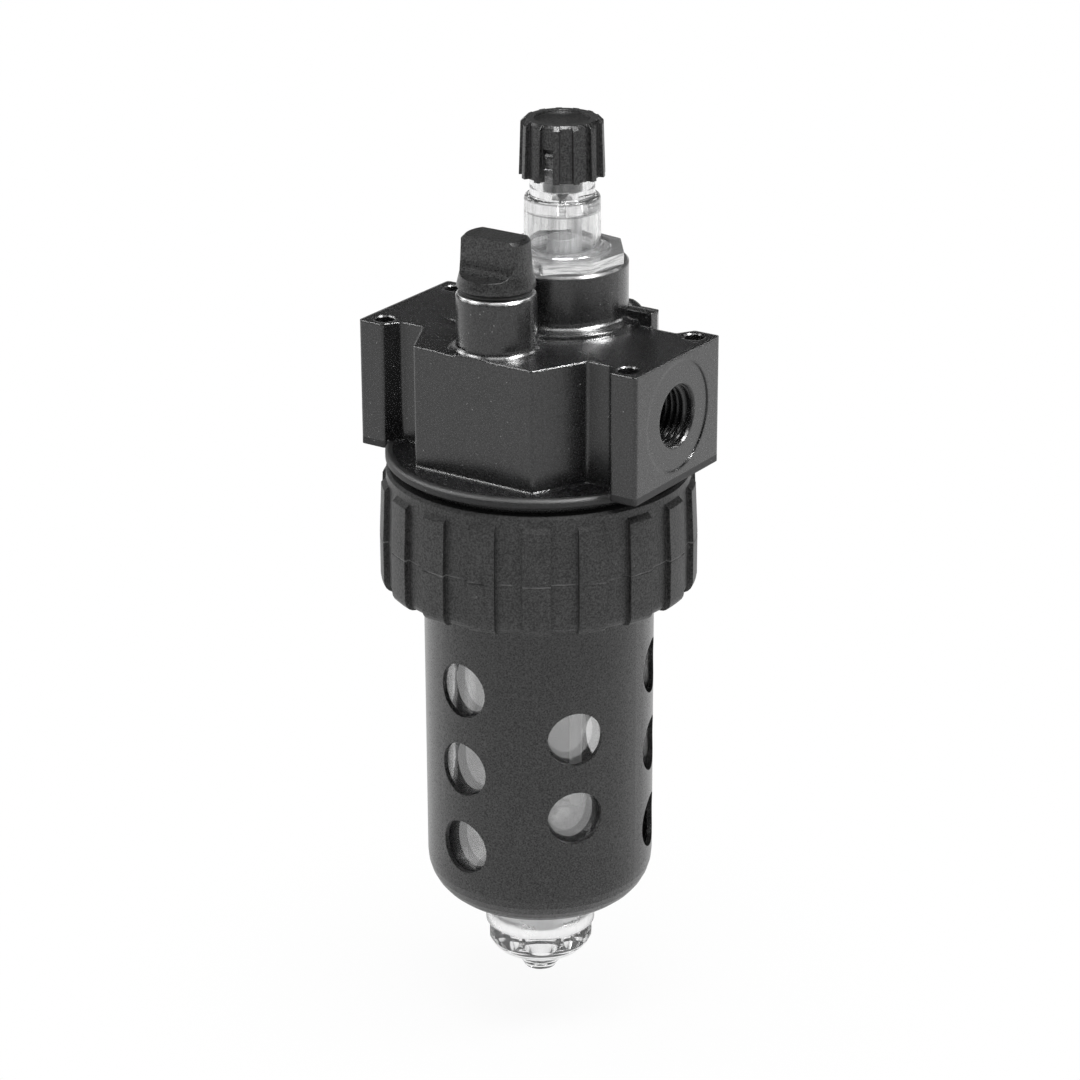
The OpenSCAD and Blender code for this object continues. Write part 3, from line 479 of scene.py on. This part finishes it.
def dress_solids():
    """Each solid gets its own finish, or that of its material slot."""
    for entry in frame["record"]["subparts"]:
        node = nodes[entry["node"]]
        node.data.materials.clear()
        node.data.materials.append(OWN_FINISHES.get(entry["node"], FINISHES[entry["material_slot"]]))


# Meshes made here


def close_tube(mesh, rings):
    """Faces that join each ring of points to the next one, and close both ends."""
    count = len(rings[0])
    for a, b in zip(rings, rings[1:]):
        for j in range(count):
            k = (j + 1) % count
            mesh.faces.new((a[j], a[k], b[k], b[j]))
    mesh.faces.new(rings[0][::-1])
    mesh.faces.new(rings[-1])
    bmesh.ops.recalc_face_normals(mesh, faces=mesh.faces)


def new_piece(name, mesh, slot, body, smooth):
    """A piece with its finish and slot, riding on a body of the solids."""
    data = bpy.data.meshes.new(name)
    mesh.to_mesh(data)
    mesh.free()
    for face in data.polygons:
        face.use_smooth = smooth
    piece = bpy.data.objects.new(name, data)
    bpy.context.scene.collection.objects.link(piece)
    data.materials.append(FINISHES[slot])
    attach(piece, body)
    return piece


def port_thread(name, side):
    """The crests of a port's thread: one ridge wound inwards from the mouth, as a closed tube."""
    turns, steps = 8, 48
    fade_steps = 0.5 * steps
    crest, root = PORT_ROOT - 0.75 * MM, PORT_ROOT + 0.05 * MM
    half_root, half_crest = 0.62 * MM, 0.1 * MM
    start = 1.1 * MM
    mesh = bmesh.new()
    rings = []
    for i in range(turns * steps + 1):
        turn = i / steps
        angle = 2 * math.pi * turn
        deep = start + turn * THREAD_PITCH
        fade = min(1.0, i / fade_steps, (turns * steps - i) / fade_steps)
        top = root + (crest - root) * fade
        ring = []
        for radius, along in ((root, -half_root), (top, -half_crest), (top, half_crest), (root, half_root)):
            x = side * (HALF_SPAN - deep - along)
            y, z = radius * math.cos(angle) * side, radius * math.sin(angle)
            ring.append(mesh.verts.new((x, y, AIR_LINE + z)))
        rings.append(ring)
    close_tube(mesh, rings)
    new_piece(name, mesh, "cast_body", "housing", smooth=False)


def valve_spring():
    """The check valve's spring under the poppet, wound again as a mesh, in place of the solid."""
    low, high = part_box("check_spring")
    wire_r, turns, steps, sides = 0.22 * MM, 5, 24, 10
    middle_x, middle_y = (low.x + high.x) / 2, (low.y + high.y) / 2
    coil_r = (high.x - low.x) / 2 - wire_r
    mesh = bmesh.new()
    rings = []
    for i in range(turns * steps + 1):
        turn = i / steps
        angle = 2 * math.pi * turn
        height = low.z + wire_r + (high.z - low.z - 2 * wire_r) * turn / turns
        ring = []
        for j in range(sides):
            round_wire = 2 * math.pi * j / sides
            radius = coil_r + wire_r * math.cos(round_wire)
            x, y = middle_x + radius * math.cos(angle), middle_y + radius * math.sin(angle)
            ring.append(mesh.verts.new((x, y, height + wire_r * math.sin(round_wire))))
        rings.append(ring)
    close_tube(mesh, rings)
    piece = new_piece("valve_spring", mesh, "plated_metal", "housing", smooth=True)
    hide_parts("check_spring")
    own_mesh(piece)


# The studio


def lamp(name, bearing, rise, away, width, height, power, glints_on=()):
    """A lamp aimed at the object from a bearing, counted from +X towards +Y, and a rise, in degrees.

    A glint lamp shows only as a bright reflection, and only in the solids named.
    """
    data = bpy.data.lights.new(name, "AREA")
    data.shape = "RECTANGLE"
    data.size = width
    data.size_y = height
    data.energy = power
    made = bpy.data.objects.new(name, data)
    turn, lift = math.radians(bearing), math.radians(rise)
    way = Vector((math.cos(turn) * math.cos(lift), math.sin(turn) * math.cos(lift), math.sin(lift)))
    made.location = LAMPS_AIM + way * away
    made.rotation_mode = "QUATERNION"
    made.rotation_quaternion = (-way).to_track_quat("-Z", "Y")
    if glints_on:
        made.visible_diffuse = False
        lit = bpy.data.collections.new(name)
        for node in glints_on:
            lit.objects.link(nodes[node])
        made.light_linking.receiver_collection = lit
    bpy.context.scene.collection.objects.link(made)


def pale_floor():
    """A round floor that glows white: less so near the object, and least there in reflections."""
    sides, rim = 64, 1.6
    mesh = bmesh.new()
    turns = [2 * math.pi * i / sides for i in range(sides)]
    mesh.faces.new([mesh.verts.new((rim * math.cos(turn), rim * math.sin(turn), 0)) for turn in turns])
    data = bpy.data.meshes.new("floor")
    mesh.to_mesh(data)
    mesh.free()
    floor = bpy.data.objects.new("floor", data)
    floor.location = (0, 0, FLOOR_HEIGHT)
    bpy.context.scene.collection.objects.link(floor)
    f = Finish(bpy.data.materials.new("floor_white"))
    away = f.tone("ShaderNodeVectorMath", "Value", {"operation": "LENGTH"}, {0: f.place()})
    mirrored = Tone(f, f.node("ShaderNodeLightPath").outputs["Is Glossy Ray"])
    paper = f.surface(Base_Color=grey(0.95), Roughness=0.9, Specular_IOR_Level=0.1)
    glow = f.node("ShaderNodeEmission", None, {"Color": grey(1.0), "Strength": 1.0}).outputs[0]
    lit = away.eased(-0.5, 0.12) * (1 - mirrored) + away.eased(0.03, 0.16) * mirrored
    data.materials.append(f.out(f.mixed(lit, paper, glow)))


def surroundings():
    """White where it is seen or mirrored from low down, nearly black mirrored from above, dim as a light."""
    world = bpy.data.worlds.new("studio")
    bpy.context.scene.world = world
    f = Finish(world)
    way = f.node("ShaderNodeTexCoord").outputs["Generated"]
    height = f.tone("ShaderNodeSeparateXYZ", "Z", None, {0: way})
    low = height.eased(0.2, 0.0)
    path = f.node("ShaderNodeLightPath")
    seen = (Tone(f, path.outputs["Is Camera Ray"]) + Tone(f, path.outputs["Is Transmission Ray"])).held()
    gloss = Tone(f, path.outputs["Is Glossy Ray"])
    white = (seen + gloss * low).held()
    level = white + (1 - white) * (0.35 - gloss * 0.31)
    back = f.node("ShaderNodeBackground", None, {"Color": grey(1.0), "Strength": level}).outputs[0]
    f.node("ShaderNodeOutputWorld", None, {"Surface": back})


def lamps():
    """Soft light from above and the sides, and the glints of the photograph."""
    # name, bearing, rise, away, width, height, power
    lamp("key", -56, 68, 1.1, 0.6, 0.3, 6)
    lamp("side", -166, 31, 1.0, 0.4, 0.4, 2)
    lamp("fill", 18, 57, 1.2, 0.3, 0.3, 3)
    lamp("foot_glint", -56, 68, 1.1, 0.3, 0.1, 2.4, glints_on=["body"])
    lamp("rib_glint", -56, 68, 1.1, 0.3, 0.12, 24, glints_on=["adjusting_knob", "fill_plug"])
    lamp("edge_glint", 18, 55, 1.2, 0.22, 0.6, 62, glints_on=["body"])
    lamp("front_glint", -144, 50, 1.2, 0.4, 0.4, 14, glints_on=["body"])
    lamp("end_glint", 64, 31, 1.2, 0.2, 0.3, 2, glints_on=["body"])
    lamp("slant_glint", 185, 29, 1.2, 0.3, 0.3, 5, glints_on=["body"])


def camera():
    """The camera of the photograph, with its angles in degrees and its place in millimetres."""
    azimuth, elevation, roll = (math.radians(v) for v in (33.89, 21.684, -0.217))
    aside, height, distance = 0.377, -46.009, 736
    level = math.cos(elevation)
    back = Vector((math.sin(azimuth) * level, -math.cos(azimuth) * level, math.sin(elevation)))
    right = Vector((math.cos(azimuth), math.sin(azimuth), 0))
    up = back.cross(right)
    across = right * math.cos(roll) + up * math.sin(roll)
    upward = -right * math.sin(roll) + up * math.cos(roll)
    place = right * aside * MM + Vector((0, 0, height * MM)) + back * distance * MM
    data = bpy.data.cameras.new("camera")
    data.sensor_width = 36
    data.lens = 114.57
    data.shift_x, data.shift_y = -0.0005, -0.0075
    data.clip_start, data.clip_end = 0.01, 20
    made = bpy.data.objects.new("camera", data)
    made.matrix_world = Matrix(
        (
            (across.x, upward.x, back.x, place.x),
            (across.y, upward.y, back.y, place.y),
            (across.z, upward.z, back.z, place.z),
            (0, 0, 0, 1),
        )
    )
    bpy.context.scene.collection.objects.link(made)
    bpy.context.scene.camera = made


camera()
pale_floor()
surroundings()
lamps()
dress_solids()
port_thread("outlet_thread", 1)
port_thread("inlet_thread", -1)
valve_spring()
bpy.context.scene.view_settings.view_transform = "Standard"
